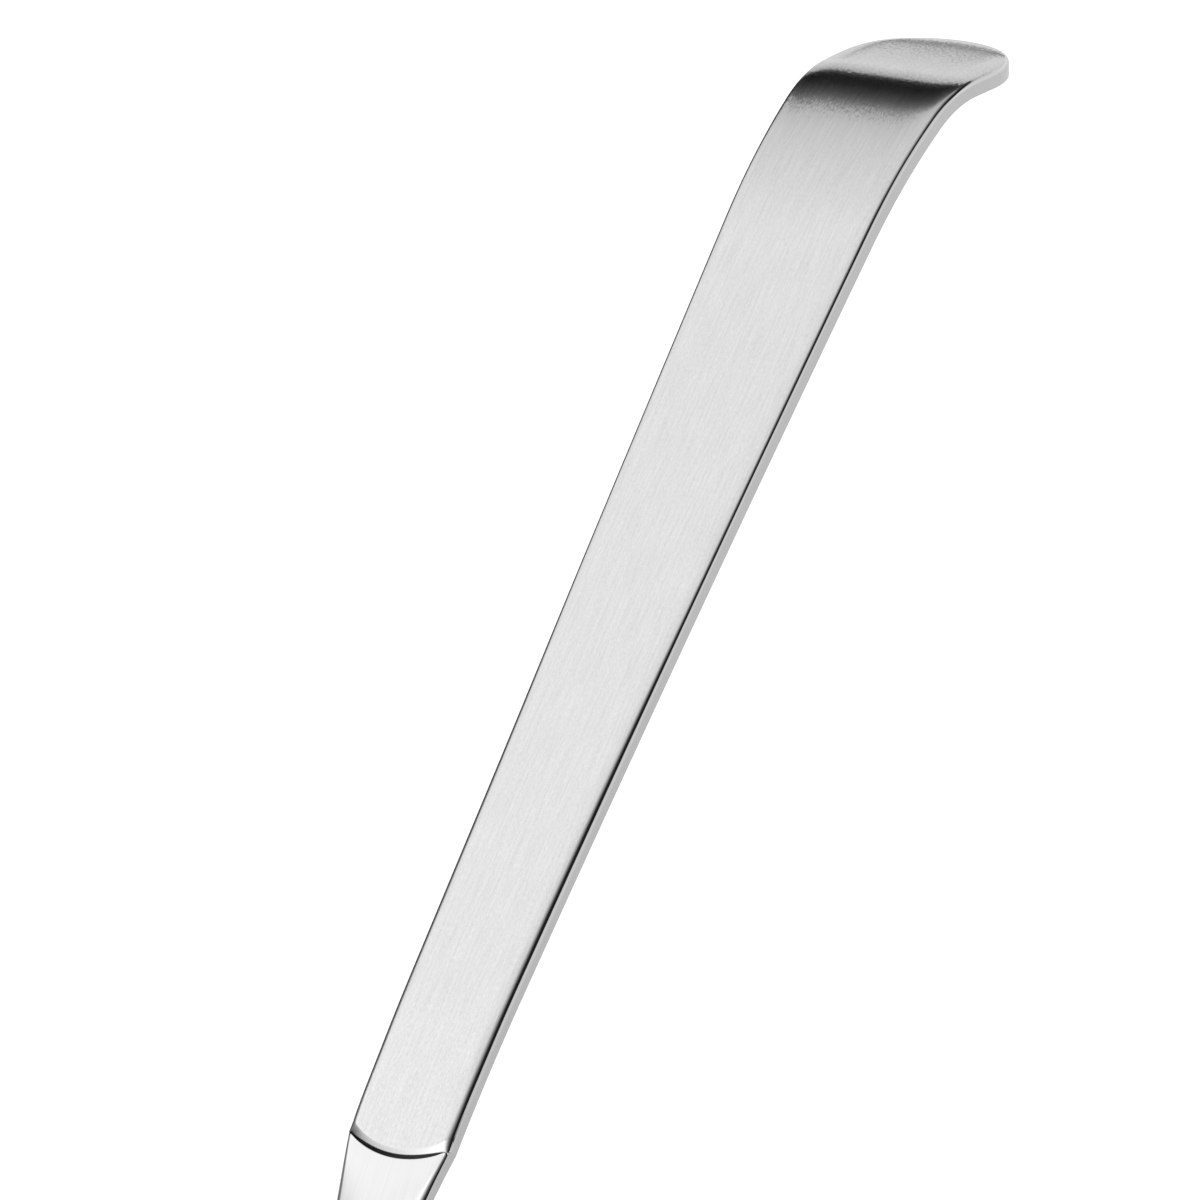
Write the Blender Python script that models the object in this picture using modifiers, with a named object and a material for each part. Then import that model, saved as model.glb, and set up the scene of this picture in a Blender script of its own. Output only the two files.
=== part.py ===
"""Soup ladle: a deep-drawn bowl, riveted to a flat strip handle with a hooked end.

Metres, +Z up. The bowl is level, and the middle of its flat base is the origin. The handle rises from the
back of the bowl, leans away towards +Y and curls over at its end, as when it hangs on the edge of a pot.
The satin face of the handle is its front, the side towards the bowl.
"""

import math

import bmesh
import bpy
from mathutils import Matrix, Vector

# Fit: the air left between two pieces that lie on each other
FIT_GAP = 0.0003

# Bowl, drawn from sheet, seen in half section
BOWL_RIM_RADIUS = 0.045
BOWL_HEIGHT = 0.040
BOWL_BASE_RADIUS = 0.015
BOWL_WALL = 0.0012
BOWL_DRAFT = math.radians(6.0)
BOWL_RIM_ROUNDING = 0.0004

# Handle, side view: the runs of its front line from the foot to the tip
FOOT_DROP = 0.026
NECK_RISE = 0.012
NECK_BEND_RADIUS = 0.078
SWEEP_RADIUS = 0.236
SWEEP_ANGLE = math.radians(8.3)
STEP_BELOW_GRIP = 0.0218
GRIP_ANGLE = math.radians(47.15)
GRIP_LENGTH = 0.1101
GRIP_BOW = math.radians(1.1)
LEAD_IN_RADIUS = 0.084
LEAD_IN_ANGLE = math.radians(13.6)
HOOK_RADIUS = 0.0196
HOOK_ANGLE = math.radians(28.5)
TIP_LENGTH = 0.0166
TIP_DROOP = math.radians(2.9)

# Handle, front view: its widths and the rounding of its two ends
FOOT_WIDTH = 0.022
FOOT_END_LENGTH = 0.010
FOOT_SHOULDER = 0.014
NECK_WIDTH = 0.0088
NECK_TAPER_LENGTH = 0.030
NECK_TAPER_SLOPE = 0.19
GRIP_FOOT_WIDTH = 0.0148
GRIP_TOP_WIDTH = 0.0223
GRIP_WAIST = 0.0003
TIP_END_LENGTH = 0.0126
END_POWER = 1.88

# Handle, thicknesses and edges
FOOT_THICKNESS = 0.0020
NECK_THICKNESS = 0.0030
NECK_CROWN = 0.0003
GRIP_THICKNESS = 0.0025
FOOT_EDGE_ROUNDING = 0.0004
NECK_EDGE_ROUNDING = 0.0008
GRIP_FOOT_EDGE_ROUNDING = 0.0009
HOOK_EDGE_ROUNDING = 0.00045
TIP_EDGE_ROUNDING = 0.0008
BACK_EDGE_ROUNDING = 0.0005

# Step between the raised satin panel and the neck
STEP_HEIGHT = 0.0005
STEP_WIDTH = 0.00125
PANEL_END_SAG = 0.0031
STEP_FOOT_SAG = 0.0019

# Rivets, placed on the wall by their distance below the rim
RIVET_SHANK_RADIUS = 0.0017
RIVET_HEAD_RADIUS = 0.0033
RIVET_HEAD_HEIGHT = 0.0015
RIVET_TAIL_HEIGHT = 0.0009
UPPER_RIVET_DROP = 0.0085
LOWER_RIVET_DROP = 0.0180
LOWER_RIVET_SPACING = 0.0115

# Facets
BOWL_STEPS = 72
BOWL_ARC_PARTS = 14
RIVET_STEPS = 24
DOME_PARTS = 5
ACROSS = (-1.0, -0.72, -0.48, -0.24, 0.0, 0.24, 0.48, 0.72, 1.0)
LONGEST_FACET = 0.007
LARGEST_TURN = math.radians(4.0)
END_PARTS = 9
END_FLAT = 0.3

# Bowl section: a flat base, a round knuckle and a straight wall that leans out by the draft
KNUCKLE_RADIUS = (BOWL_RIM_RADIUS - BOWL_BASE_RADIUS - BOWL_HEIGHT * math.tan(BOWL_DRAFT)) / (
    math.cos(BOWL_DRAFT) - math.tan(BOWL_DRAFT) * (1 - math.sin(BOWL_DRAFT))
)
WALL_LENGTH = (BOWL_HEIGHT - KNUCKLE_RADIUS * (1 - math.sin(BOWL_DRAFT))) / math.cos(BOWL_DRAFT)
WALL_ANGLE = math.pi / 2 - BOWL_DRAFT

# Where the front line of the handle starts, low on the back of the bowl, and its runs as length and turn
FOOT_ON_KNUCKLE = max(FOOT_DROP - WALL_LENGTH, 0.0)
FOOT_TURN = FOOT_ON_KNUCKLE / KNUCKLE_RADIUS
FOOT_RUN = FOOT_TURN * (KNUCKLE_RADIUS + FIT_GAP)
NECK_TURN = WALL_ANGLE - SWEEP_ANGLE - GRIP_ANGLE
RUNS = (
    (FOOT_RUN, FOOT_TURN),
    (min(FOOT_DROP, WALL_LENGTH), 0.0),
    (NECK_RISE, 0.0),
    (NECK_BEND_RADIUS * NECK_TURN, -NECK_TURN),
    (SWEEP_RADIUS * SWEEP_ANGLE, -SWEEP_ANGLE),
    (GRIP_LENGTH, -GRIP_BOW),
    (LEAD_IN_RADIUS * LEAD_IN_ANGLE, -LEAD_IN_ANGLE),
    (HOOK_RADIUS * HOOK_ANGLE, -HOOK_ANGLE),
    (TIP_LENGTH, -TIP_DROOP),
)
RIM_AT = FOOT_RUN + min(FOOT_DROP, WALL_LENGTH)
STEP_AT = sum(length for length, turn in RUNS[:5]) - STEP_BELOW_GRIP
PANEL_AT = STEP_AT - STEP_FOOT_SAG + STEP_WIDTH + PANEL_END_SAG
HOOK_AT = sum(length for length, turn in RUNS[:7])
TIP_AT = sum(length for length, turn in RUNS)


def collection(name):
    """A new collection in the scene."""
    group = bpy.data.collections.new(name)
    bpy.context.scene.collection.children.link(group)
    return group


def steel(name, shade, roughness):
    """A stainless steel finish."""
    material = bpy.data.materials.new(name)
    material.use_nodes = True
    shader = material.node_tree.nodes["Principled BSDF"]
    shader.inputs["Base Color"].default_value = (shade, shade, shade, 1.0)
    shader.inputs["Metallic"].default_value = 1.0
    shader.inputs["Roughness"].default_value = roughness
    return material


def mesh_object(name, bm, group, material=None):
    """An object in a collection, from a bmesh that is used up."""
    mesh = bpy.data.meshes.new(name)
    bm.to_mesh(mesh)
    bm.free()
    part = bpy.data.objects.new(name, mesh)
    group.objects.link(part)
    if material:
        mesh.materials.append(material)
    mesh.shade_smooth()
    return part


def turned(name, profile, steps, group, material):
    """A turned piece: a half section in X and Z, listed from the top down, and a Screw modifier about Z."""
    bm = bmesh.new()
    points = [bm.verts.new((radius, 0.0, height)) for radius, height in profile]
    for upper, lower in zip(points, points[1:]):
        bm.edges.new((upper, lower))
    part = mesh_object(name, bm, group, material)
    screw = part.modifiers.new("turn", "SCREW")
    screw.steps = steps
    screw.render_steps = steps
    screw.use_merge_vertices = True
    screw.merge_threshold = 0.00002
    return part


def smooth(value):
    """A soft ramp from 0 to 1 while the value goes from 0 to 1."""
    value = min(max(value, 0.0), 1.0)
    return value * value * (3 - 2 * value)


def blend(first, second, share):
    """A value on the way from the first to the second."""
    return first + (second - first) * share


def wall_place(drop):
    """Radius, height and heading of the bowl's outside, at a distance along it below the rim."""
    on_wall = min(drop, WALL_LENGTH)
    turn = (drop - on_wall) / KNUCKLE_RADIUS
    heading = WALL_ANGLE - turn
    radius = BOWL_RIM_RADIUS - on_wall * math.cos(WALL_ANGLE)
    height = BOWL_HEIGHT - on_wall * math.sin(WALL_ANGLE)
    radius += KNUCKLE_RADIUS * (math.sin(heading) - math.sin(WALL_ANGLE))
    height -= KNUCKLE_RADIUS * (math.cos(heading) - math.cos(WALL_ANGLE))
    return radius, height, heading


def bowl_section():
    """Half section of the bowl's outside, from the rim down the wall and round the knuckle to the middle."""
    arc_length = KNUCKLE_RADIUS * WALL_ANGLE
    drops = [0.0] + [WALL_LENGTH + arc_length * part / BOWL_ARC_PARTS for part in range(BOWL_ARC_PARTS + 1)]
    section = [wall_place(drop)[:2] for drop in drops]
    return section[:-1] + [(BOWL_BASE_RADIUS, 0.0), (0.0, 0.0)]


def make_bowl(group, material):
    """The bowl: its outside is turned, gets the wall inwards, and the rim's two edges are rounded."""
    bowl = turned("bowl", bowl_section(), BOWL_STEPS, group, material)
    wall = bowl.modifiers.new("wall", "SOLIDIFY")
    wall.thickness = BOWL_WALL
    wall.offset = -1.0
    wall.use_even_offset = True
    rim = bowl.modifiers.new("rim", "BEVEL")
    rim.width = BOWL_RIM_ROUNDING
    rim.segments = 3
    rim.limit_method = "ANGLE"
    rim.angle_limit = math.radians(60.0)
    return bowl


def front_line(distance):
    """Place in Y and Z, and heading, at a distance along the handle's front line from the end of its foot."""
    radius, z, heading = wall_place(FOOT_DROP)
    y = radius + FIT_GAP * math.sin(heading)
    z -= FIT_GAP * math.cos(heading)
    for length, turn in RUNS:
        step = min(distance, length)
        if step <= 0:
            continue
        part = turn * step / length
        chord = 2 * step / part * math.sin(part / 2) if part else step
        y += chord * math.cos(heading + part / 2)
        z += chord * math.sin(heading + part / 2)
        heading += part
        distance -= step
    return y, z, heading


def rounded_end(to_end, length):
    """Share of the full width left at a distance from a rounded end of the given length."""
    inset = min(max(1 - to_end / length, 0.0), 1.0)
    return (1 - inset**END_POWER) ** (1 / END_POWER)


def full_half_width(distance):
    """Half the strip's width at a distance along it, as if its ends were square."""
    grip_foot = GRIP_FOOT_WIDTH / 2
    taper_at = STEP_AT - NECK_TAPER_LENGTH
    if distance >= STEP_AT:
        share = (distance - STEP_AT) / (HOOK_AT - STEP_AT)
        return blend(grip_foot, GRIP_TOP_WIDTH / 2, share) - 4 * GRIP_WAIST * share * max(1 - share, 0.0)
    if distance >= taper_at:
        share = (distance - taper_at) / NECK_TAPER_LENGTH
        leaving = NECK_TAPER_SLOPE * NECK_TAPER_LENGTH * (share**3 - share**2)
        return blend(NECK_WIDTH / 2, grip_foot, smooth(share)) + leaving
    share = (distance - RIM_AT + FOOT_SHOULDER) / (FOOT_SHOULDER + NECK_RISE)
    return blend(FOOT_WIDTH / 2, NECK_WIDTH / 2, smooth(share))


def half_width(distance):
    """Half the strip's width at a distance along it."""
    ends = rounded_end(distance, FOOT_END_LENGTH) * rounded_end(TIP_AT - distance, TIP_END_LENGTH)
    return full_half_width(distance) * ends


def thickness(distance):
    """The strip's thickness behind its front line at a distance along it, without the raised panel."""
    grip = GRIP_THICKNESS - STEP_HEIGHT
    middle = (RIM_AT + STEP_AT) / 2
    if distance < middle:
        return blend(FOOT_THICKNESS, NECK_THICKNESS, smooth((distance - RIM_AT) / (middle - RIM_AT)))
    return blend(NECK_THICKNESS, grip, smooth((distance - middle) / (STEP_AT - middle)))


def crown(distance):
    """How far the middle of the neck's front stands out from its edges."""
    share = (distance - RIM_AT) / (STEP_AT - RIM_AT)
    return NECK_CROWN * smooth(4 * share) * smooth(4 * (1 - share))


def front_rounding(distance):
    """Radius of the front edges at a distance along the strip."""
    if distance < RIM_AT:
        return FOOT_EDGE_ROUNDING
    if distance < STEP_AT:
        share = (distance - RIM_AT) / (STEP_AT - RIM_AT)
        return blend(FOOT_EDGE_ROUNDING, NECK_EDGE_ROUNDING, smooth(2 * share))
    if distance < HOOK_AT:
        share = (distance - STEP_AT) / (HOOK_AT - STEP_AT)
        return blend(GRIP_FOOT_EDGE_ROUNDING, HOOK_EDGE_ROUNDING, smooth(share))
    share = (distance - HOOK_AT) / (TIP_AT - TIP_END_LENGTH - HOOK_AT)
    return blend(HOOK_EDGE_ROUNDING, TIP_EDGE_ROUNDING, smooth(share))


def handle_point(distance, across, forward):
    """World point of the strip. Its foot is wrapped round the bowl, and its neck flattens above the rim."""
    front_y, z, heading = front_line(distance)
    y = front_y - forward * math.sin(heading)
    z += forward * math.cos(heading)
    wrap = 1 - smooth((distance - RIM_AT) / (STEP_AT - NECK_TAPER_LENGTH - RIM_AT))
    if wrap < 0.001:
        return Vector((across, y, z))
    radius = front_y / wrap
    angle = across / radius
    reach = radius + y - front_y
    return Vector((reach * math.sin(angle), front_y - radius + reach * math.cos(angle), z))


def bow(across, half, sag):
    """How far an arc over the whole width stands out at one place, with the sag at its middle."""
    if sag <= 0:
        return 0.0
    radius = (half * half + sag * sag) / (2 * sag)
    return math.sqrt(radius * radius - across * across) - radius + sag


def end_places(length):
    """Distances from a rounded end at which its outline is cut, up to the last flat facet."""
    widest = math.acos(END_FLAT)
    return [length * (1 - math.sin(widest * part / END_PARTS)) for part in range(END_PARTS + 1)]


def stations():
    """Cross sections from foot to tip: distance along the edges, sag of the front, height of the panel."""
    foot_end = end_places(FOOT_END_LENGTH)[::-1]
    tip_end = [TIP_AT - place for place in end_places(TIP_END_LENGTH)]
    inner = []
    start = 0.0
    for length, turn in RUNS:
        parts = max(math.ceil(length / LONGEST_FACET), math.ceil(abs(turn) / LARGEST_TURN))
        inner += [start + length * part / parts for part in range(parts)]
        start += length
    neck_top = STEP_AT - STEP_FOOT_SAG - STEP_WIDTH
    neck = [place for place in inner if foot_end[-1] < place < neck_top]
    rows = [(place, 0.0, 0.0) for place in foot_end + neck]
    rows += [(STEP_AT, STEP_FOOT_SAG, 0.0), (PANEL_AT, PANEL_END_SAG, STEP_HEIGHT)]
    panel = [place for place in inner if PANEL_AT + STEP_WIDTH < place < tip_end[0] - STEP_WIDTH]
    rows += [(place, 0.0, STEP_HEIGHT) for place in panel + tip_end]
    return rows


def handle_section(bm, row):
    """One closed ring of the strip: the front from left to right, then the back from right to left."""
    distance, sag, panel = row
    half = half_width(distance)
    front = []
    back = []
    for share in ACROSS:
        across = share * half
        forward = panel - crown(distance) * share * share
        front.append(bm.verts.new(handle_point(distance - bow(across, half, sag), across, forward)))
        back.append(bm.verts.new(handle_point(distance, across, -thickness(distance))))
    return front + back[::-1]


def make_handle(group, material):
    """The handle: a loft of the strip's sections, with rounded edges all round."""
    bm = bmesh.new()
    rounding = bm.edges.layers.float.new("bevel_weight_edge")
    widest = max(GRIP_FOOT_EDGE_ROUNDING, NECK_EDGE_ROUNDING, TIP_EDGE_ROUNDING, BACK_EDGE_ROUNDING)
    rows = stations()
    rings = [handle_section(bm, row) for row in rows]
    count = len(ACROSS)
    for lower, upper in zip(rings, rings[1:]):
        for i in range(2 * count):
            j = (i + 1) % (2 * count)
            bm.faces.new((lower[i], lower[j], upper[j], upper[i]))
    bm.faces.new(rings[0][::-1])
    bm.faces.new(rings[-1])
    for row, lower, upper in zip(rows, rings, rings[1:]):
        for corner, radius in (
            (0, front_rounding(row[0])),
            (count - 1, front_rounding(row[0])),
            (count, BACK_EDGE_ROUNDING),
            (2 * count - 1, BACK_EDGE_ROUNDING),
        ):
            bm.edges.get((lower[corner], upper[corner]))[rounding] = radius / widest
    for ring, radius in ((rings[0], FOOT_EDGE_ROUNDING), (rings[-1], TIP_EDGE_ROUNDING)):
        for i in range(count - 1):
            bm.edges.get((ring[i], ring[i + 1]))[rounding] = radius / widest
            bm.edges.get((ring[count + i], ring[count + i + 1]))[rounding] = radius / widest
    bmesh.ops.recalc_face_normals(bm, faces=bm.faces)
    handle = mesh_object("handle", bm, group, material)
    edges = handle.modifiers.new("edges", "BEVEL")
    edges.limit_method = "WEIGHT"
    edges.width = widest
    edges.segments = 3
    return handle


def rivet_frame(drop, across):
    """Where a rivet sits: on the bowl's outside, its Z axis along the wall's outward direction."""
    radius, height, heading = wall_place(drop)
    turn = Matrix.Rotation(-across / radius, 4, "Z")
    tilt = Matrix.Rotation(heading - math.pi, 4, "X")
    return turn @ Matrix.Translation((0.0, radius, height)) @ tilt


def dome(radius, rise):
    """A shallow dome in half section, from its middle to its rim, as radius and height above the rim."""
    sphere = (radius * radius + rise * rise) / (2 * rise)
    widest = math.asin(radius / sphere)
    angles = [widest * part / DOME_PARTS for part in range(DOME_PARTS + 1)]
    return [(sphere * math.sin(angle), sphere * math.cos(angle) - sphere + rise) for angle in angles]


def make_rivet(name, drop, across, group, material):
    """A solid rivet: domed head outside on the foot, shank through both walls, low tail inside the bowl."""
    inner_radius = BOWL_RIM_RADIUS - BOWL_WALL
    hollow = RIVET_HEAD_RADIUS * RIVET_HEAD_RADIUS / (2 * inner_radius)
    head_seat = FIT_GAP + FOOT_THICKNESS + FIT_GAP
    tail_seat = -BOWL_WALL - FIT_GAP - hollow
    profile = [(radius, head_seat + rise) for radius, rise in dome(RIVET_HEAD_RADIUS, RIVET_HEAD_HEIGHT)]
    profile += [(RIVET_SHANK_RADIUS, head_seat), (RIVET_SHANK_RADIUS, tail_seat)]
    tail = dome(RIVET_HEAD_RADIUS, RIVET_TAIL_HEIGHT)
    profile += [(radius, tail_seat - rise) for radius, rise in reversed(tail)]
    rivet = turned(name, profile, RIVET_STEPS, group, material)
    rivet.matrix_world = rivet_frame(drop, across)
    return rivet


def drill(pieces, drop, across, name, group):
    """A hole for one rivet through the pieces it joins."""
    radius = RIVET_SHANK_RADIUS + FIT_GAP
    depth = 2 * (BOWL_WALL + FOOT_THICKNESS + FIT_GAP) + 2 * radius
    bm = bmesh.new()
    bmesh.ops.create_cone(
        bm, cap_ends=True, segments=RIVET_STEPS, radius1=radius, radius2=radius, depth=depth
    )
    cutter = mesh_object(name, bm, group)
    cutter.matrix_world = rivet_frame(drop, across)
    cutter.hide_render = True
    cutter.display_type = "WIRE"
    for piece in pieces:
        hole = piece.modifiers.new(name, "BOOLEAN")
        hole.operation = "DIFFERENCE"
        hole.solver = "EXACT"
        hole.object = cutter


for old in list(bpy.data.objects):
    bpy.data.objects.remove(old)

ladle = collection("soup_ladle")
cutters = collection("cutters")
handle = make_handle(ladle, steel("satin_steel", 0.72, 0.34))
bowl = make_bowl(ladle, steel("polished_steel", 0.80, 0.10))
rivet_steel = steel("rivet_steel", 0.78, 0.18)
for rivet_name, rivet_drop, rivet_across in (
    ("rivet_upper", UPPER_RIVET_DROP, 0.0),
    ("rivet_lower_left", LOWER_RIVET_DROP, -LOWER_RIVET_SPACING / 2),
    ("rivet_lower_right", LOWER_RIVET_DROP, LOWER_RIVET_SPACING / 2),
):
    make_rivet(rivet_name, rivet_drop, rivet_across, ladle, rivet_steel)
    drill((bowl, handle), rivet_drop, rivet_across, rivet_name + "_hole", cutters)
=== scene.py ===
"""Soup ladle, dressed for the picture: a drawn bowl, a strip handle with a hooked end, and three rivets.

Metres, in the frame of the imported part: +Z up, the handle leans away towards +Y, and its satin face
looks towards -Y.
"""

import math

import bpy
from mathutils import Matrix, Vector


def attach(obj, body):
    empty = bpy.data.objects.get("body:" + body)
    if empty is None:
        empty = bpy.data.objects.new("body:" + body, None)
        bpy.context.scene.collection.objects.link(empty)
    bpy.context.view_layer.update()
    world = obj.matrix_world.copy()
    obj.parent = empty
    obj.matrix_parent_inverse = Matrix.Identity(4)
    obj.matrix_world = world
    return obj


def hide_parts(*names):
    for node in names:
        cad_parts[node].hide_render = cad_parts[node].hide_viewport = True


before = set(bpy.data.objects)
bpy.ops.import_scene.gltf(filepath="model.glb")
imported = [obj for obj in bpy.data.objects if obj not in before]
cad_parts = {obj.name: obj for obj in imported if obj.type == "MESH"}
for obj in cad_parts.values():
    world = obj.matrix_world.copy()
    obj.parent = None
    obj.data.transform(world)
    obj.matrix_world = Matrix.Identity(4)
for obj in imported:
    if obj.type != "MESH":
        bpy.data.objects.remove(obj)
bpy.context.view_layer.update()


# Bowl: drawn from a disc of 1.2 mm stainless steel to a flat base, a round knuckle and a wall that leans
# out a little. Its rim is trimmed and rounded over, and it is polished on a turning wheel inside and out.
rim_radius = 0.045
bowl_height = 0.040
base_radius = 0.015
bowl_wall = 0.0012
rim_rounding = 0.0005
bowl_segments = 160
wall_angle = math.radians(84.0)
fit_gap = 0.0003
wall_lean = math.tan(math.pi / 2 - wall_angle)
knuckle_radius = (rim_radius - base_radius - bowl_height * wall_lean) / (
    math.sin(wall_angle) - wall_lean * (1 - math.cos(wall_angle))
)
wall_length = (bowl_height - knuckle_radius * (1 - math.cos(wall_angle))) / math.sin(wall_angle)


def srgb(text):
    """Linear colour from an sRGB hex value."""
    shades = [int(text[i : i + 2], 16) / 255 for i in (1, 3, 5)]
    return [s / 12.92 if s <= 0.04045 else ((s + 0.055) / 1.055) ** 2.4 for s in shades] + [1.0]


def add(tree, kind, settings=(), values=(), links=()):
    """A node with its settings, its socket values and the sockets that feed it."""
    node = tree.nodes.new(kind)
    for name, value in dict(settings).items():
        setattr(node, name, value)
    for name, value in dict(values).items():
        node.inputs[name].default_value = value
    for name, source in dict(links).items():
        tree.links.new(source, node.inputs[name])
    return node


def draw_up(name, segments, first, rings):
    """A turned piece: a disc whose edge is drawn out ring by ring, each with its radius and height."""
    bpy.ops.object.select_all(action="DESELECT")
    bpy.ops.mesh.primitive_circle_add(vertices=segments, radius=first[0], fill_type="NGON")
    piece = bpy.context.object
    piece.name = name
    bpy.ops.object.mode_set(mode="EDIT")
    bpy.ops.mesh.select_all(action="SELECT")
    bpy.ops.transform.translate(value=(0.0, 0.0, first[1]))
    bpy.ops.mesh.select_mode(type="EDGE")
    bpy.ops.mesh.region_to_loop()
    radius, height = first
    for next_radius, next_height in rings:
        bpy.ops.mesh.extrude_region()
        bpy.ops.transform.translate(value=(0.0, 0.0, next_height - height))
        share = next_radius / radius
        bpy.ops.transform.resize(value=(share, share, 1.0), center_override=(0.0, 0.0, next_height))
        radius, height = next_radius, next_height
    return piece


def apply_modifiers(piece):
    """Makes the piece's modifiers part of its mesh."""
    bpy.ops.object.select_all(action="DESELECT")
    piece.select_set(True)
    bpy.context.view_layer.objects.active = piece
    for modifier in list(piece.modifiers):
        bpy.ops.object.modifier_apply(modifier=modifier.name)


def wall_place(drop):
    """Radius, height and heading of the bowl's outside, at a distance along it below the rim."""
    on_wall = min(drop, wall_length)
    heading = wall_angle - (drop - on_wall) / knuckle_radius
    radius = rim_radius - on_wall * math.cos(wall_angle)
    height = bowl_height - on_wall * math.sin(wall_angle)
    radius += knuckle_radius * (math.sin(heading) - math.sin(wall_angle))
    height -= knuckle_radius * (math.cos(heading) - math.cos(wall_angle))
    return radius, height, heading


wall_rings = [wall_length * part / 8 for part in range(8)]
knuckle_rings = [wall_length + knuckle_radius * wall_angle * part / 40 for part in range(40)]
bowl_rings = [wall_place(drop)[:2] for drop in wall_rings + knuckle_rings]
bowl = draw_up("drawn_bowl", bowl_segments, (base_radius, 0.0), bowl_rings[::-1])
bpy.ops.mesh.select_all(action="SELECT")
bpy.ops.mesh.normals_make_consistent(inside=False)
bpy.ops.object.mode_set(mode="OBJECT")
sheet = bowl.modifiers.new("wall", "SOLIDIFY")
sheet.thickness = bowl_wall
sheet.offset = -1.0
sheet.use_even_offset = True
rim = bowl.modifiers.new("rim", "BEVEL")
rim.width = rim_rounding
rim.segments = 5
rim.limit_method = "ANGLE"
rim.angle_limit = math.radians(60.0)
apply_modifiers(bowl)
bpy.ops.object.shade_smooth_by_angle(angle=math.radians(50.0))


def steel(name):
    """A new material of bare stainless steel: its node tree and the shader in it."""
    material = bpy.data.materials.new(name)
    material.use_nodes = True
    metal = material.node_tree.nodes["Principled BSDF"]
    metal.inputs["Metallic"].default_value = 1.0
    return material, material.node_tree, metal


def lines(tree, place, scale, detail):
    """Fine noise over a place, stretched by a scale in counts per metre."""
    stretched = add(tree, "ShaderNodeMapping", values={"Scale": scale}, links={"Vector": place})
    return add(
        tree,
        "ShaderNodeTexNoise",
        values={"Scale": 1.0, "Detail": detail, "Roughness": 0.6},
        links={"Vector": stretched.outputs[0]},
    ).outputs[0]


def wear(tree, metal, pattern, dark, pale, smooth_end, rough_end, depth):
    """Lets a pattern shade the steel between two greys, roughen it and groove it to a depth."""
    tint = add(tree, "ShaderNodeValToRGB", links={0: pattern})
    tint.color_ramp.elements[0].position = 0.3
    tint.color_ramp.elements[0].color = srgb(dark)
    tint.color_ramp.elements[1].position = 0.7
    tint.color_ramp.elements[1].color = srgb(pale)
    tree.links.new(tint.outputs[0], metal.inputs["Base Color"])
    gloss = add(
        tree,
        "ShaderNodeMapRange",
        values={"From Min": 0.3, "From Max": 0.7, "To Min": smooth_end, "To Max": rough_end},
        links={"Value": pattern},
    )
    tree.links.new(gloss.outputs[0], metal.inputs["Roughness"])
    groove = add(
        tree,
        "ShaderNodeBump",
        values={"Strength": 1.0, "Distance": depth},
        links={"Height": pattern},
    )
    tree.links.new(groove.outputs[0], metal.inputs["Normal"])
    return groove.outputs[0]


# The wheel leaves fine rings round the bowl, so a bright reflection has a slight silky drag along them.
spun, tree, metal = steel("wheel_polished_stainless_steel")
spot = add(tree, "ShaderNodeTexCoord")
axes = add(tree, "ShaderNodeSeparateXYZ", links={0: spot.outputs["Object"]})
flat_spot = add(tree, "ShaderNodeCombineXYZ", links={0: axes.outputs[0], 1: axes.outputs[1]})
from_axis = add(
    tree,
    "ShaderNodeVectorMath",
    settings={"operation": "LENGTH"},
    links={0: flat_spot.outputs[0]},
)
around = add(
    tree,
    "ShaderNodeMath",
    settings={"operation": "ARCTAN2"},
    links={0: axes.outputs[1], 1: axes.outputs[0]},
)
ringed = add(
    tree,
    "ShaderNodeCombineXYZ",
    links={0: from_axis.outputs["Value"], 1: axes.outputs[2], 2: around.outputs[0]},
)
wheel_rings = lines(tree, ringed.outputs[0], (3300.0, 3300.0, 1.5), 3.0)
wear(tree, metal, wheel_rings, "#d0d0d0", "#dadada", 0.06, 0.11, 0.0000008)
bowl.data.materials.append(spun)
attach(bowl, "root")
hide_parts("bowl")


# Handle: one strip of 2.5 mm stainless steel, riveted to the bowl. It is blanked, its neck is pressed lower
# in front, its edges are rounded, and it is bent: foot round the bowl, neck back, end over into a hook. The
# flats above the neck are ground satin along the strip. The neck and all edges are polished.
foot_drop = 0.026
neck_rise = 0.012
neck_bend_radius = 0.078
sweep_radius = 0.236
sweep_angle = math.radians(8.3)
grip_angle = math.radians(47.15)
grip_length = 0.1101
grip_turn = math.radians(1.1)
upper_radius = 0.084
upper_turn = math.radians(13.6)
hook_radius = 0.0196
hook_turn = math.radians(28.5)
end_run = 0.0166
end_turn = math.radians(2.3)
foot_turn = (foot_drop - wall_length) / knuckle_radius
foot_run = foot_turn * (knuckle_radius + fit_gap)
neck_turn = wall_angle - sweep_angle - grip_angle
bends = (
    (foot_run, foot_turn),
    (wall_length, 0.0),
    (neck_rise, 0.0),
    (neck_bend_radius * neck_turn, -neck_turn),
    (sweep_radius * sweep_angle, -sweep_angle),
    (grip_length, -grip_turn),
    (upper_radius * upper_turn, -upper_turn),
    (hook_radius * hook_turn, -hook_turn),
    (end_run, -end_turn),
)
step_below_grip = 0.0213
rim_at = foot_run + wall_length
step_at = sum(length for length, turn in bends[:5]) - step_below_grip
hook_at = sum(length for length, turn in bends[:7])
tip_at = sum(length for length, turn in bends)
foot_length = 0.010
tip_length = 0.0120
end_spare = 0.0006
end_power = 2.05
tip_roll = 0.00012
foot_half = 0.011
foot_flare = 0.014
neck_half = 0.0044
neck_taper = 0.030
taper_slope = 0.165
step_half = 0.0075
hook_half = 0.01125
grip_hollow = 0.0012
strip_gauge = 0.0020
neck_gauge = 0.0030
neck_crown = 0.0003
worn_depth = 0.0002
worn_from = 0.55
worn_run = 0.010
step_height = 0.00047
step_width = 0.00125
step_sag = 0.0023
slope_width = 0.00055
slope_height = 0.000225
neck_lift = 0.000160
lift_from = 0.014
lift_run = 0.012
panel_sag = 0.0029
panel_at = step_at - step_sag + step_width + panel_sag
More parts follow.
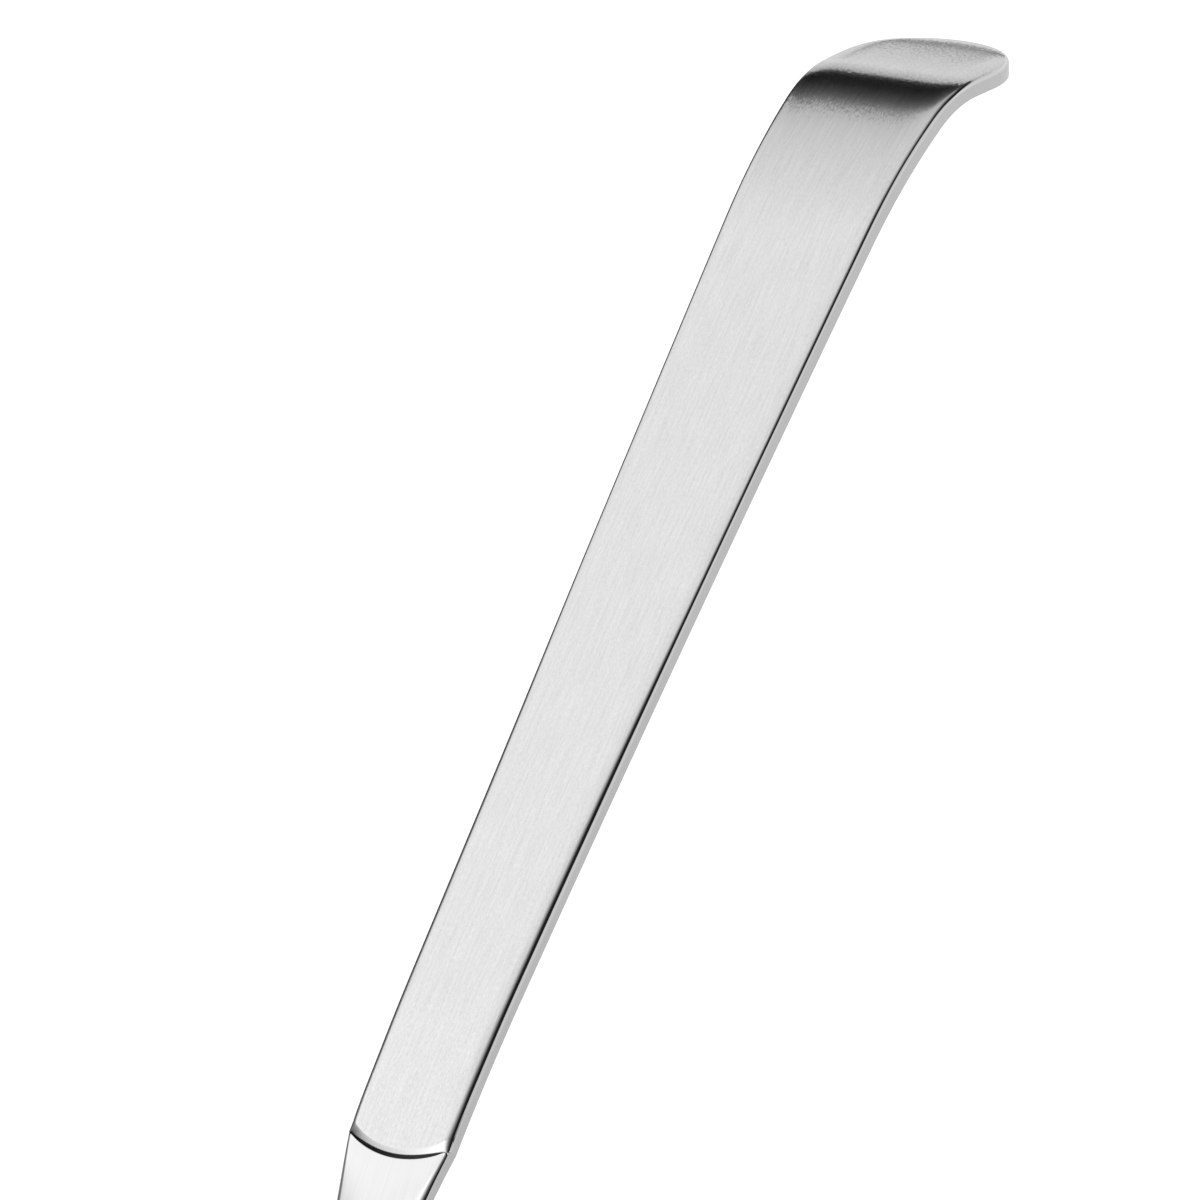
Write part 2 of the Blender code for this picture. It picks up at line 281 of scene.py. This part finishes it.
widest_rounding = 0.0014
rounding_stops = (
    (rim_at, 0.0004),
    (step_at - 0.0200, 0.0012),
    (step_at - 0.0065, 0.0012),
    (step_at, 0.0004),
    (panel_at - 0.0002, widest_rounding),
    (panel_at + 0.0020, 0.0009),
    (step_at + 0.0500, 0.0009),
    (step_at + 0.0830, 0.00055),
    (step_at + 0.1130, 0.00055),
    (hook_at, 0.00065),
)
back_rounding = 0.0005
hook_back_rounding = 0.0002
foot_room = 0.00072
step_room = 0.00162
hook_room = 0.00117
tip_room = 0.0027
tip_room_run = 0.010


def smooth(value):
    """A soft ramp from 0 to 1 while the value goes from 0 to 1."""
    value = min(max(value, 0.0), 1.0)
    return value * value * (3 - 2 * value)


def between(first, second, share):
    """A value on the way from the first to the second."""
    return first + (second - first) * share


def half_width(along):
    """Half the blank's width, as if its ends were square."""
    if along >= step_at:
        share = (along - step_at) / (hook_at - step_at)
        return between(step_half, hook_half, share) - grip_hollow * share * max(1 - share, 0.0)
    taper_at = step_at - neck_taper
    if along >= taper_at:
        share = (along - taper_at) / neck_taper
        leaving = taper_slope * neck_taper * (share**3 - share**2)
        return between(neck_half, step_half, smooth(share)) + leaving
    share = (along - rim_at + foot_flare) / (foot_flare + neck_rise)
    return between(foot_half, neck_half, smooth(share))


def strip_thickness(along):
    """How far the back lies behind the neck's front."""
    middle = (rim_at + step_at) / 2
    if along < middle:
        return between(strip_gauge, neck_gauge, smooth((along - rim_at) / (middle - rim_at)))
    return between(neck_gauge, strip_gauge, smooth((along - middle) / (step_at - middle)))


def front_rounding(along):
    """Radius of the front's edges, largest at the panel's lower corners."""
    for first, second in zip(rounding_stops, rounding_stops[1:]):
        if along < second[0]:
            return between(first[1], second[1], smooth((along - first[0]) / (second[0] - first[0])))
    return rounding_stops[-1][1]


def edge_room(along):
    """How far the inner columns keep from the edges, which leaves room for the rounding."""
    if along < step_at:
        return between(foot_room, step_room, smooth(2 * (along - rim_at) / (step_at - rim_at)))
    room = between(step_room, hook_room, smooth((along - step_at) / (hook_at - step_at)))
    return between(room, tip_room, smooth((along - hook_at) / tip_room_run))


def column_place(share, along):
    """Where a column runs, in shares of the half width."""
    if abs(share) == 1:
        return share
    return share * (1 - edge_room(along) / half_width(along)) / inner_columns[-2]


def bow(across, half, sag):
    """How far an arc over the whole width stands out at one place, with the sag at its middle."""
    if sag <= 0:
        return 0.0
    radius = (half * half + sag * sag) / (2 * sag)
    return math.sqrt(max(radius * radius - across * across, 0.0)) - radius + sag


def end_place(share, turn, length):
    """Place on a rounded end: part of the half width, and distance from where the end starts."""
    power = 2 / end_power
    side = (math.cos(math.pi / 4 * turn) ** power, length * math.sin(math.pi / 4 * turn) ** power)
    corner = math.cos(math.pi / 4) ** power
    angle = math.pi / 4 * share
    arc = math.copysign(abs(math.sin(angle)) ** power, share) / corner
    rise = length * (math.cos(angle) ** power - corner)
    return between(share, arc, turn) * side[0], side[1] + turn * turn * rise


def front_line(along):
    """Place in Y and Z, and heading, of the neck's front as it is bent."""
    radius, z, heading = wall_place(foot_drop)
    y = radius + fit_gap * math.sin(heading)
    z -= fit_gap * math.cos(heading)
    for length, turn in bends:
        run = min(along, length)
        if length == bends[-1][0]:
            run = along
        if run <= 0:
            continue
        part = turn * run / length
        chord = 2 * run / part * math.sin(part / 2) if part else run
        y += chord * math.cos(heading + part / 2)
        z += chord * math.sin(heading + part / 2)
        heading += part
        along -= run
    return y, z, heading


def bent(point):
    """Where a point of the flat blank comes to lie on the finished handle."""
    across, along, forward = point
    front_y, z, heading = front_line(along)
    y = front_y - forward * math.sin(heading)
    z += forward * math.cos(heading)
    wrap = 1 - smooth((along - rim_at) / (step_at - neck_taper - rim_at))
    if wrap < 0.001:
        return Vector((across, y, z))
    radius = front_y / wrap
    reach = radius + y - front_y
    angle = across / radius
    return Vector((reach * math.sin(angle), front_y - radius + reach * math.cos(angle), z))


def flat_place(kind, place, amount, share, back):
    """A point of the flat blank, from its row and its share of the half width.

    From the foot to the tip, the rows are foot, neck, slope and lens for the step, panel and tip.
    """
    if kind == "foot":
        part, reach = end_place(column_place(share, 0.0), place, foot_length - end_spare)
        along = foot_length - reach
        return part * half_width(along), along, 0.0
    if kind == "tip":
        part, reach = end_place(column_place(share, tip_at), place, tip_length)
        along = tip_at - end_spare - tip_length + reach
        roll = tip_roll * max((place - 0.6) / 0.4, 0.0) ** 2
        return part * half_width(along), along, step_height - roll
    half = half_width(place)
    share = column_place(share, place)
    across = share * half
    if back:
        return across, place, 0.0
    foot = step_at - bow(across, half, step_sag)
    # The slope runs out towards the sides, so the step leaves the side edges whole.
    narrow = 1 - 0.8 * share**4
    low = narrow - 0.2 * share**6
    lift = neck_lift * smooth((place - step_at + lift_from) / lift_run)
    if kind == "neck":
        return across, place - bow(across, half, amount), lift
    if kind == "slope":
        return across, foot + (place - step_at) * narrow, lift + amount * low
    if kind == "lens":
        along = between(foot + slope_width * narrow, panel_at - bow(across, half, panel_sag), amount)
        bulge = 1 - (1 - amount) ** 1.1
        return across, along, between(lift + slope_height * low, step_height, bulge)
    return across, place - bow(across, half, amount), step_height


# The rows are closest at the step and in the hook, where the front turns most.
neck_spacing = 0.0015
grip_spacing = 0.0018
hook_spacing = 0.0008
fine_before_hook = 0.012
inner_columns = [0.1, 0.2, 0.3, 0.4, 0.5, 0.6, 0.7, 0.79, 0.87, 0.94, 1.0]
columns = [-share for share in inner_columns[::-1]] + [0.0] + inner_columns
end_turns = (0.0, 0.05, 0.1, 0.16, 0.23, 0.31, 0.4, 0.5, 0.58, 0.66, 0.74, 0.82, 1.0)
rows = [("foot", turn, 0.0) for turn in end_turns[::-1]]
place = foot_length
while place < step_at - step_sag - 0.0035:
    place += neck_spacing
    rows.append(("neck", place, 0.0))
for share in (0.34, 0.67, 1.0):
    rows.append(("neck", between(place, step_at - 0.0003, share), step_sag * share))
for width, height in (
    (0.0, 0.0),
    (0.00003, 0.000005),
    (0.00008, 0.000021),
    (0.00016, 0.000055),
    (0.00028, 0.000107),
    (0.00042, 0.000168),
    (slope_width, slope_height),
):
    rows.append(("slope", step_at + width, height))
for share in (0.12, 0.25, 0.4, 0.55, 0.7, 0.85, 1.0):
    rows.append(("lens", between(step_at + slope_width, panel_at, share), share))
place = panel_at + 0.0004
for share in (1.0, 0.66, 0.33):
    rows.append(("panel", place, panel_sag * share))
    place += 0.0011
while place < tip_at - end_spare - tip_length - hook_spacing:
    rows.append(("panel", place, 0.0))
    place += hook_spacing if place > hook_at - fine_before_hook else grip_spacing
rows += [("tip", turn, 0.0) for turn in end_turns]

bpy.ops.object.select_all(action="DESELECT")
bpy.ops.mesh.primitive_grid_add(
    x_subdivisions=len(columns) - 1,
    y_subdivisions=len(rows) - 1,
    size=1.0,
)
handle = bpy.context.object
handle.name = "strip_handle"
strip = handle.data
row_of = strip.attributes.new("row", "INT", "POINT")
column_of = strip.attributes.new("column", "INT", "POINT")
for vertex in strip.vertices:
    column_of.data[vertex.index].value = round((vertex.co.x + 0.5) * (len(columns) - 1))
    row_of.data[vertex.index].value = round((vertex.co.y + 0.5) * (len(rows) - 1))
bpy.ops.object.mode_set(mode="EDIT")
bpy.ops.mesh.select_all(action="SELECT")
bpy.ops.mesh.extrude_region()
bpy.ops.object.mode_set(mode="OBJECT")

row_of = [item.value for item in strip.attributes["row"].data]
column_of = [item.value for item in strip.attributes["column"].data]
for vertex in strip.vertices:
    share = columns[column_of[vertex.index]]
    across, along, forward = flat_place(*rows[row_of[vertex.index]], share, vertex.select)
    crown_share = (along - rim_at) / (step_at - rim_at)
    crown = neck_crown * smooth(4 * crown_share) * smooth(4 * (1 - crown_share)) * share * share
    worn = max(abs(across) / half_width(along) - worn_from, 0.0) / (1 - worn_from)
    crown += worn_depth * worn**3 * smooth((along - panel_at) / worn_run)
    if vertex.select:
        vertex.co = (across, along, -strip_thickness(along))
    else:
        vertex.co = (across, along, forward - crown)

weight = strip.attributes.new("bevel_weight_edge", "FLOAT", "EDGE")
for edge in strip.edges:
    first, second = edge.vertices
    back = strip.vertices[first].select
    if back != strip.vertices[second].select:
        continue
    on_side = column_of[first] == column_of[second] and column_of[first] in (0, len(columns) - 1)
    on_end = row_of[first] == row_of[second] and row_of[first] in (0, len(rows) - 1)
    if on_side or on_end:
        along = (strip.vertices[first].co.y + strip.vertices[second].co.y) / 2
        rounding = front_rounding(along)
        if back:
            up_grip = smooth((along - step_at) / (hook_at - step_at))
            rounding = between(back_rounding, hook_back_rounding, up_grip)
        weight.data[edge.index].value = rounding / widest_rounding
bpy.ops.object.mode_set(mode="EDIT")
bpy.ops.mesh.select_all(action="SELECT")
bpy.ops.mesh.normals_make_consistent(inside=False)
bpy.ops.object.mode_set(mode="OBJECT")
edges = handle.modifiers.new("edges", "BEVEL")
edges.limit_method = "WEIGHT"
edges.width = widest_rounding
edges.segments = 6
edges.use_clamp_overlap = False
apply_modifiers(handle)

# The neck and the edges were run along a soft mop, which leaves a mirror with a few hairlines along it.
mopped, tree, metal = steel("mop_polished_stainless_steel")
spot = add(tree, "ShaderNodeUVMap", settings={"uv_map": "flat_strip"})
hairs = lines(tree, spot.outputs[0], (3500.0, 90.0, 1.0), 2.0)
wear(tree, metal, hairs, "#d6d6d6", "#dadada", 0.07, 0.10, 0.0000002)

# The flats were ground on a belt that runs along the strip. The grooves are a hundredth of a millimetre
# apart, too fine to show, so they are drawn as streaks of about 0.2 x 0.6 mm and 0.3 x 7 mm. They spread a
# reflection sideways only, so bright and dark fields keep a crisp edge across the strip.
satin, tree, metal = steel("belt_ground_satin_stainless_steel")
spot = add(tree, "ShaderNodeUVMap", settings={"uv_map": "flat_strip"})
fine = lines(tree, spot.outputs[0], (5200.0, 1700.0, 1.0), 2.0)
long = lines(tree, spot.outputs[0], (3000.0, 150.0, 1.0), 2.0)
weak_long = add(
    tree,
    "ShaderNodeMath",
    settings={"operation": "MULTIPLY"},
    values={1: 0.4},
    links={0: long},
)
streaks = add(
    tree,
    "ShaderNodeMath",
    settings={"operation": "MULTIPLY_ADD"},
    values={1: 0.6},
    links={0: fine, 2: weak_long.outputs[0]},
)
grooved = wear(tree, metal, streaks.outputs[0], "#c4c4c4", "#dedede", 0.10, 0.13, 0.000002)
direction = add(
    tree,
    "ShaderNodeTangent",
    settings={"direction_type": "UV_MAP", "uv_map": "flat_strip"},
)
tree.links.new(direction.outputs[0], metal.inputs["Tangent"])
metal.inputs["Anisotropic"].default_value = 0.9

# Each scratch also rises and falls a little along its length, which frays the edges of the dark fields.
rise = add(
    tree,
    "ShaderNodeMapRange",
    values={"From Min": 0.2, "From Max": 0.8, "To Min": -0.032, "To Max": 0.032},
    links={"Value": fine},
)
lengthways = add(
    tree,
    "ShaderNodeVectorMath",
    settings={"operation": "CROSS_PRODUCT"},
    links={0: grooved, 1: direction.outputs[0]},
)
leaning = add(
    tree,
    "ShaderNodeVectorMath",
    settings={"operation": "SCALE"},
    links={0: lengthways.outputs[0], "Scale": rise.outputs[0]},
)
tilted = add(
    tree,
    "ShaderNodeVectorMath",
    settings={"operation": "ADD"},
    links={0: grooved, 1: leaning.outputs[0]},
)
unit = add(
    tree,
    "ShaderNodeVectorMath",
    settings={"operation": "NORMALIZE"},
    links={0: tilted.outputs[0]},
)
tree.links.new(unit.outputs[0], metal.inputs["Normal"])

strip.materials.append(mopped)
strip.materials.append(satin)
flat = strip.uv_layers.new(name="flat_strip")
for loop in strip.loops:
    flat.data[loop.index].uv = strip.vertices[loop.vertex_index].co.xy

# Only the flats above the step were ground, and the rounded edges stay polished.
panel_half = half_width(panel_at)
for face in strip.polygons:
    above = []
    for index in face.vertices:
        corner = strip.vertices[index].co
        across = min(abs(corner.x), panel_half)
        above.append(corner.y + bow(across, panel_half, panel_sag) - panel_at)
    if abs(face.normal.z) > 0.8 and min(above) > -0.00001:
        face.material_index = 1
for vertex in strip.vertices:
    vertex.co = bent(vertex.co)
bpy.ops.object.select_all(action="DESELECT")
handle.select_set(True)
bpy.context.view_layer.objects.active = handle
bpy.ops.object.shade_smooth()
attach(handle, "root")
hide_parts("handle")


# Rivets: three solid rivets of the same steel hold the foot to the bowl, one above and two below. Each has
# a domed head outside, a shank through a hole in the foot and the wall, and a low tail set inside the bowl.
shank_radius = 0.0017
head_radius = 0.0033
head_rise = 0.0015
tail_rise = 0.0009
rivet_segments = 48
drill_length = 0.010
drill_turn = math.radians(2.0)
head_seat = fit_gap + strip_gauge + fit_gap
tail_seat = -bowl_wall - fit_gap - head_radius * head_radius / (2 * (rim_radius - bowl_wall))


def dome(rise):
    """A shallow dome from near its middle to its rim, as radii and heights above the rim."""
    sphere = (head_radius * head_radius + rise * rise) / (2 * rise)
    widest_angle = math.asin(head_radius / sphere)
    angles = [widest_angle * part / 12 for part in range(1, 13)]
    return [(sphere * math.sin(angle), sphere * math.cos(angle) - sphere + rise) for angle in angles]


head = [(radius, head_seat + height) for radius, height in dome(head_rise)]
tail = [(radius, tail_seat - height) for radius, height in dome(tail_rise)]
shank = [(shank_radius, head_seat), (shank_radius, tail_seat)]
rivet = draw_up("upper_rivet", rivet_segments, head[0], head[1:] + shank + tail[::-1])
bpy.ops.mesh.edge_face_add()
bpy.ops.mesh.select_all(action="SELECT")
bpy.ops.mesh.normals_make_consistent(inside=False)
bpy.ops.object.mode_set(mode="OBJECT")
bpy.ops.object.shade_smooth_by_angle(angle=math.radians(40.0))

# The heads were struck with a polished punch, which leaves them bright and a little uneven.
struck, tree, metal = steel("struck_stainless_steel")
spot = add(tree, "ShaderNodeTexCoord")
dents = lines(tree, spot.outputs["Object"], (900.0, 900.0, 900.0), 2.0)
wear(tree, metal, dents, "#cccccc", "#d8d8d8", 0.10, 0.18, 0.000012)
rivet.data.materials.append(struck)
rivets = [rivet]
for name in ("lower_left_rivet", "lower_right_rivet"):
    copy = rivet.copy()
    copy.data = rivet.data.copy()
    copy.name = name
    bpy.context.scene.collection.objects.link(copy)
    rivets.append(copy)
# Each place is a node, a distance below the rim and a distance from the middle.
rivet_places = (
    ("rivet_upper", 0.0085, 0.0),
    ("rivet_lower_left", 0.018, -0.00575),
    ("rivet_lower_right", 0.018, 0.00575),
)
for piece, (node, drop, across) in zip(rivets, rivet_places):
    radius, height, heading = wall_place(drop)
    turn = Matrix.Rotation(-across / radius, 4, "Z")
    tilt = Matrix.Rotation(heading - math.pi, 4, "X")
    seat = turn @ Matrix.Translation((0.0, radius, height)) @ tilt
    # The drill is turned a little, so that its corners stay clear of the edges between the bowl's faces.
    bpy.ops.mesh.primitive_cylinder_add(
        vertices=rivet_segments,
        radius=shank_radius + fit_gap,
        depth=drill_length,
    )
    drill = bpy.context.object
    drill.data.transform(seat @ Matrix.Rotation(drill_turn, 4, "Z"))
    for drilled in (bowl, handle):
        hole = drilled.modifiers.new("hole", "BOOLEAN")
        hole.object = drill
        apply_modifiers(drilled)
        bpy.ops.object.shade_smooth_by_angle(angle=math.radians(60.0))
    bpy.data.objects.remove(drill)
    piece.data.transform(seat)
    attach(piece, "root")
    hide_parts(node)


# Studio: a white floor, a wide soft light overhead in front, a weaker light on the right, a pale wall
# behind with a narrow dark gap, dark in between, and the camera in front on the right. The steel mirrors a
# floor that is darker than in the picture, most of all near the ladle, as its own shadow would make it.
bpy.ops.object.select_all(action="DESELECT")
bpy.ops.mesh.primitive_plane_add(size=30.0)
floor = bpy.context.object
floor.name = "floor"
white = bpy.data.materials.new("white_floor")
white.use_nodes = True
tree = white.node_tree
tree.nodes.remove(tree.nodes["Principled BSDF"])
matte = add(tree, "ShaderNodeBsdfDiffuse", values={"Color": srgb("#d0d0d0")})
rays = add(tree, "ShaderNodeLightPath")
ground = add(tree, "ShaderNodeNewGeometry")
distance = add(
    tree,
    "ShaderNodeVectorMath",
    settings={"operation": "LENGTH"},
    links={0: ground.outputs["Position"]},
)
# Painted shadow: in reflections the floor's glow is painted dark within 5.5 cm of the ladle and rises to
# most of its level by about 17 cm, while the camera sees the floor evenly bright.
glow_with_painted_shadow = add(tree, "ShaderNodeValToRGB", links={0: distance.outputs["Value"]})
glow_and_painted_shadow_stops = ((0.055, 0.0), (0.17, 0.35), (0.40, 0.37), (0.90, 0.42))
glow_and_painted_shadow_marks = glow_with_painted_shadow.color_ramp.elements
while len(glow_and_painted_shadow_marks) < len(glow_and_painted_shadow_stops):
    glow_and_painted_shadow_marks.new(0.5)
for mark, (metres, shade) in zip(glow_and_painted_shadow_marks, glow_and_painted_shadow_stops):
    mark.position = metres
    mark.color = (shade, shade, shade, 1.0)
level = add(
    tree,
    "ShaderNodeMapRange",
    values={"To Max": 0.9},
    links={"Value": rays.outputs["Is Camera Ray"], "To Min": glow_with_painted_shadow.outputs[0]},
)
glow = add(tree, "ShaderNodeEmission", links={"Strength": level.outputs[0]})
both = add(tree, "ShaderNodeAddShader", links={0: matte.outputs[0], 1: glow.outputs[0]})
tree.links.new(both.outputs[0], tree.nodes["Material Output"].inputs["Surface"])
floor.data.materials.append(white)

world = bpy.data.worlds.new("studio")
bpy.context.scene.world = world
world.use_nodes = True
tree = world.node_tree
towards = add(tree, "ShaderNodeTexCoord")
sky_axes = add(tree, "ShaderNodeSeparateXYZ", links={0: towards.outputs["Generated"]})
over = add(
    tree,
    "ShaderNodeMath",
    settings={"operation": "ARCTAN2"},
    links={0: sky_axes.outputs["Y"], 1: sky_axes.outputs["Z"]},
)
brightest = 1.5
light_stops = (
    (-90, 0.03),
    (-73, 0.03),
    (-70, 0.20),
    (-66, 0.70),
    (-62, 0.95),
    (-54, 1.04),
    (-48, 1.23),
    (-42, 1.37),
    (-27, 1.30),
    (-12, 1.09),
    (1, 0.91),
    (6, 0.79),
    (8, 0.68),
    (9.2, 0.27),
    (12.6, 0.13),
    (20, 0.06),
    (29, 0.02),
    (35, 0.012),
    (46, 0.012),
    (52, 0.0),
    (90, 0.0),
)
wall_stops = (
    (40, 0.0),
    (46.5, 0.01),
    (48.5, 0.50),
    (52, 0.66),
    (56, 0.76),
    (64, 0.87),
    (70, 0.95),
    (76, 0.88),
    (90, 0.84),
)
gap_stops = (
    (69.8, 1.0),
    (71.2, 0.05),
    (73.4, 0.05),
    (75.0, 1.0),
)


def ramp(angle, stops):
    """Brightness over the angle from straight up, in degrees and above 0 towards the back."""
    half_turn = add(
        tree,
        "ShaderNodeMapRange",
        values={"From Min": -math.pi / 2, "From Max": math.pi / 2},
        links={"Value": angle},
    )
    shades = add(tree, "ShaderNodeValToRGB", links={0: half_turn.outputs[0]})
    marks = shades.color_ramp.elements
    while len(marks) < len(stops):
        marks.new(0.5)
    for mark, (degrees, brightness) in zip(marks, stops):
        shade = brightness / brightest
        mark.position = (degrees + 90) / 180
        mark.color = (shade, shade, shade, 1.0)
    return shades.outputs[0]


def fade(source, start, end, first, last):
    """A soft change from a first to a last value while the source goes from start to end."""
    return add(
        tree,
        "ShaderNodeMapRange",
        settings={"interpolation_type": "SMOOTHSTEP"},
        values={"From Min": start, "From Max": end, "To Min": first, "To Max": last},
        links={"Value": source},
    ).outputs[0]


def joined(operation, first, second):
    """Two values put together by a math operation."""
    kind = {"operation": operation}
    return add(tree, "ShaderNodeMath", settings=kind, links={0: first, 1: second}).outputs[0]


def changed(operation, source, number):
    """A value changed by a number in a math operation."""
    kind = {"operation": operation}
    return add(tree, "ShaderNodeMath", settings=kind, values={1: number}, links={0: source}).outputs[0]


# The light overhead. Its rear edge is slanted, it fades out to the right, and its left side is soft.
sideways = sky_axes.outputs["X"]
up = over.outputs[0]
slant = add(
    tree,
    "ShaderNodeMapRange",
    values={"From Min": -0.50, "From Max": -0.29, "To Min": 0.0, "To Max": 0.375},
    links={"Value": sideways},
).outputs[0]
slant = joined("MAXIMUM", slant, fade(sideways, -0.66, -0.545, 0.18, 0.0))
behind = changed("MAXIMUM", changed("ADD", up, math.radians(30.0)), 0.0)
slanted = joined("SUBTRACT", up, joined("MULTIPLY", behind, slant))
wider = changed("ADD", changed("MULTIPLY", sideways, -0.35), -0.115)
wider = joined("MULTIPLY", wider, fade(up, -0.70, -0.20, 1.0, 0.0))
light_side = joined("ADD", sideways, wider)
light = joined("MULTIPLY", ramp(slanted, light_stops), fade(light_side, -0.60, 0.50, 1.0, 0.012))
left = fade(joined("ADD", sideways, fade(up, -0.95, -0.80, -0.07, 0.0)), -0.95, -0.72, 0.0, 1.0)
left = joined("MAXIMUM", left, fade(up, -0.87, -0.70, 0.04, 0.20))
light = joined("MULTIPLY", light, left)

# Low in front, the light is weaker on the left and stronger on the right.
front_slope = add(
    tree,
    "ShaderNodeMapRange",
    values={"From Min": -0.68, "From Max": -0.30, "To Min": -0.6, "To Max": 0.92},
    links={"Value": sideways},
).outputs[0]
front = joined("MULTIPLY", front_slope, fade(up, -0.91, -0.73, 1.0, 0.0))
light = joined("ADD", light, joined("MULTIPLY", light, front))

# The weaker light on the right stands beside the ladle and behind it.
right = joined("MULTIPLY", fade(sideways, 0.60, 0.76, 0.0, 0.55), fade(sideways, 0.96, 0.99, 1.0, 0.0))
right = joined("MULTIPLY", right, fade(up, -0.12, 0.10, 0.0, 1.0))
light = joined("MAXIMUM", light, right)

# The wall is evenly pale on the right and ends on both sides. Its gap makes the dark line inside the tip.
pale = joined("MULTIPLY", fade(sideways, -0.36, -0.10, 0.0, 0.57), fade(up, 0.80, 0.92, 0.0, 1.0))
wall = joined("MAXIMUM", ramp(up, wall_stops), pale)
wall = joined("MULTIPLY", wall, fade(sideways, 0.62, 0.76, 1.0, 0.03))
wall = joined("MULTIPLY", wall, fade(sideways, -0.76, -0.62, 0.03, 1.0))
no_gap = 1 / brightest
gap = joined("MAXIMUM", ramp(up, gap_stops), fade(sideways, -0.46, -0.40, 0.0, no_gap))
gap = joined("MAXIMUM", gap, fade(sideways, -0.56, -0.52, no_gap, 0.0))
wall = joined("MULTIPLY", wall, changed("MULTIPLY", gap, brightest))
tree.links.new(joined("ADD", light, wall), tree.nodes["Background"].inputs["Color"])
tree.nodes["Background"].inputs["Strength"].default_value = brightest
bpy.context.scene.view_settings.view_transform = "Standard"

optics = bpy.data.cameras.new("camera")
optics.sensor_width = 36.0
optics.lens = 314.3
optics.clip_end = 100.0
camera = bpy.data.objects.new("camera", optics)
camera.location = (0.68550, -0.92999, 0.50262)
camera.rotation_euler = (math.radians(90 - 15.516), 0.0, math.radians(33.340))
bpy.context.scene.collection.objects.link(camera)
bpy.context.scene.camera = camera
